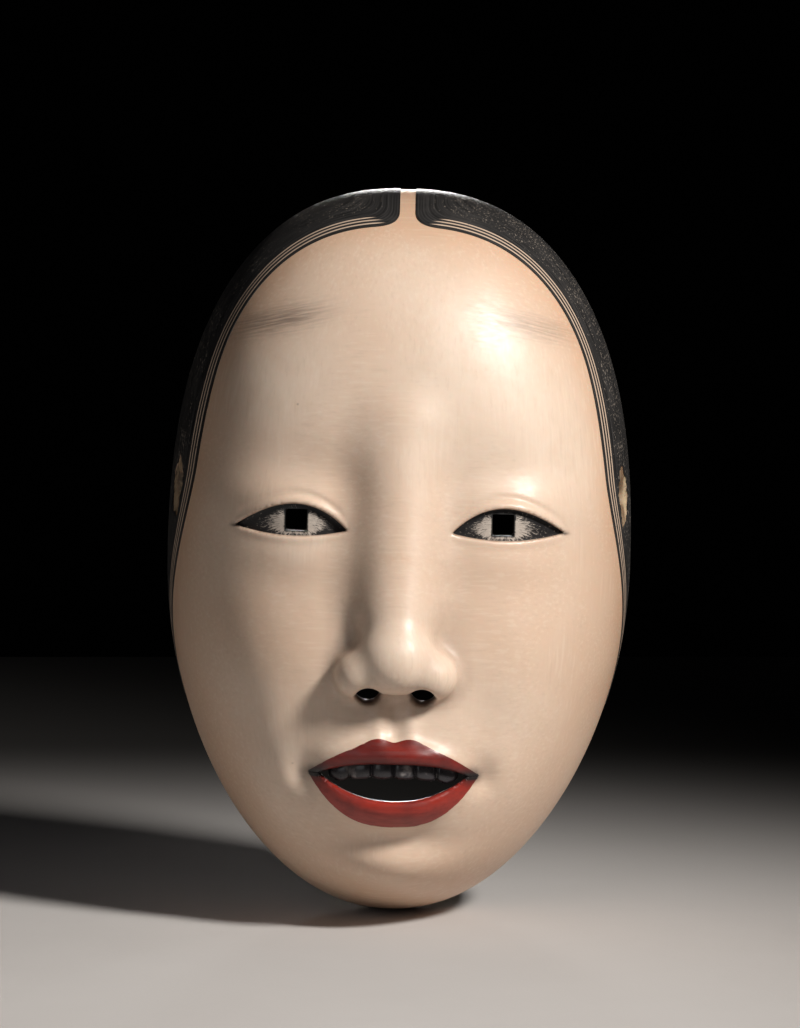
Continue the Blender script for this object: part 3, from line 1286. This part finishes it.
def make_pad(name, finish, thread):
    """A cloth-covered pad, sewn round its edge and tied down in its middle."""
    middle = sum(node_box(name)) / 2
    wide, tall = PAD_SIZES[name]
    piece = pillow(name + "_cloth", wide, PAD_THICK, tall)
    puffed(piece)
    sew(piece, wide / 2, tall / 2)
    rounded = piece.modifiers.new("rounded", "SUBSURF")
    rounded.levels = rounded.render_levels = 1
    apply_modifiers(piece)
    piece.data.shade_smooth()
    across, up = hollow_slopes(middle[0], middle[2])
    turn = Matrix.Rotation(math.atan(across), 4, "Z") @ Matrix.Rotation(-math.atan(up), 4, "X")
    settled = Matrix.Translation(Vector(middle) * MM) @ turn
    piece.data.transform(settled)
    make_stitches(name, wide / 2, tall / 2, settled, thread)
    place(piece, name, "pad_cotton", finish)


# ---------------------------------------------------------------- stage, light and camera


def table_material():
    """Pale, and darker to the back. The strip that shows through the open mouth is the darkest."""
    n = Nodes("pale_table")
    colour = n.mix(n.noise(14, 5, 0.6), (0.52, 0.495, 0.48), (0.57, 0.545, 0.53))
    place_on_table = n.add("ShaderNodeSeparateXYZ")
    n.set(place_on_table.inputs[0], n.position)
    across, back, _ = place_on_table.outputs
    strip = n.ramp(n.math("ABSOLUTE", across), 0.05, 0.03)
    strip = n.times(strip, n.ramp(back, 0.12, 0.18, 0.0, 0.98))
    dark = n.most(n.ramp(back, 0.03, 0.33, 0.0, 0.94), strip)
    colour = n.mix(dark, colour, (0.012, 0.0115, 0.011))
    rough = n.ramp(n.noise(90, 4, 0.6), 0.3, 0.7, 0.80, 0.92)
    return n.finish(colour, rough, n.bump(n.noise(900), 0.15, 0.2), Specular_IOR_Level=0.0)


def make_floor():
    """A table. The mask leans on it, so it is tipped a little in the mask's own frame."""
    mesh = bpy.data.meshes.new("floor")
    near, far, half = -1.6, 0.56, 2.4
    mesh.from_pydata([(-half, near, 0), (half, near, 0), (half, far, 0), (-half, far, 0)], [],
                     [(0, 1, 2, 3)])
    lean = Matrix.Rotation(math.radians(FLOOR_LEAN), 4, "X")
    roll = Matrix.Rotation(math.radians(-CAMERA_ROLL), 4, "Y")
    mesh.transform(Matrix.Translation((0, 0, (BOTTOM - 0.1) * MM)) @ roll @ lean)
    mesh.materials.append(table_material())
    floor = bpy.data.objects.new("floor", mesh)
    bpy.context.scene.collection.objects.link(floor)


def add_light(name, kind, place_at, aim, watts, colour, **settings):
    data = bpy.data.lights.new(name, kind)
    data.energy = watts
    data.color = colour
    for setting, value in settings.items():
        setattr(data, setting, value)
    light = bpy.data.objects.new(name, data)
    light.location = place_at
    light.rotation_euler = (Vector(aim) - Vector(place_at)).to_track_quat("-Z", "Y").to_euler()
    light.visible_camera = False
    bpy.context.scene.collection.objects.link(light)


def make_light():
    world = bpy.data.worlds.new("dark_studio")
    bpy.context.scene.world = world
    world.use_nodes = True
    world.node_tree.nodes["Background"].inputs["Color"].default_value = (0.0002, 0.0002, 0.0002, 1)
    middle = (0, -0.03, CENTRE * MM)
    add_light("key", "SPOT", (0.64, -0.64, 0.60), (-0.12, -0.12, -0.03), 68, (1.0, 0.965, 0.92),
              spot_size=math.radians(46), spot_blend=1.0, shadow_soft_size=0.10)
    add_light("fill", "AREA", (-0.85, -1.25, 0.35), middle, 1.8, (0.97, 0.98, 1.0), size=0.8)
    add_light("back", "AREA", (0.0, 0.90, 0.28), middle, 0.036, (1.0, 0.98, 0.96), size=0.12,
              spread=math.radians(22))


def make_camera():
    """A long lens, square to the mask and a little above its level."""
    data = bpy.data.cameras.new("camera")
    data.lens = CAMERA_LENS
    data.sensor_width = CAMERA_SENSOR
    distance = HALF_HEIGHT * 2 * MM / MASK_SHARE * CAMERA_LENS / CAMERA_SENSOR
    camera = bpy.data.objects.new("camera", data)
    rise = math.radians(CAMERA_RISE)
    aim = Vector((0.0, -0.02, CENTRE * MM + 0.0110))
    back = Vector((0.0, -math.cos(rise), math.sin(rise)))
    camera.location = aim + back * distance
    turn = (-back).to_track_quat("-Z", "Y").to_matrix().to_4x4()
    camera.matrix_world = (Matrix.Translation(camera.location) @ turn
                           @ Matrix.Rotation(math.radians(CAMERA_ROLL), 4, "Z"))
    bpy.context.scene.collection.objects.link(camera)
    bpy.context.scene.camera = camera


def make_mask():
    sheet = make_surface()
    make_skin(sheet, skin_material())
    hair = hair_material()
    make_hair(sheet, "left", -1, hair)
    make_hair(sheet, "right", 1, hair)
    make_lip(sheet, "upper_lip", upper_lip_side,
             lip_material("upper_lip_red", (0.215, 0.018, 0.012), (0.105, 0.010, 0.008), 0.70))
    make_lip(sheet, "lower_lip", lower_lip_side,
             lip_material("lower_lip_red", (0.33, 0.026, 0.015), (0.185, 0.015, 0.010), 0.655))
    eye = eye_material()
    make_eye("left", -1, eye)
    make_eye("right", 1, eye)
    make_teeth(teeth_material())
    block = make_wood()
    make_core(block, wood_material())
    make_lacquer(block, lacquer_material())
    cotton, thread = pad_material(), thread_material()
    for name in PAD_SIZES:
        make_pad(name, cotton, thread)


make_camera()
make_floor()
make_light()
make_mask()
bpy.context.scene.view_settings.view_transform = "Standard"

bpy.context.view_layer.update()
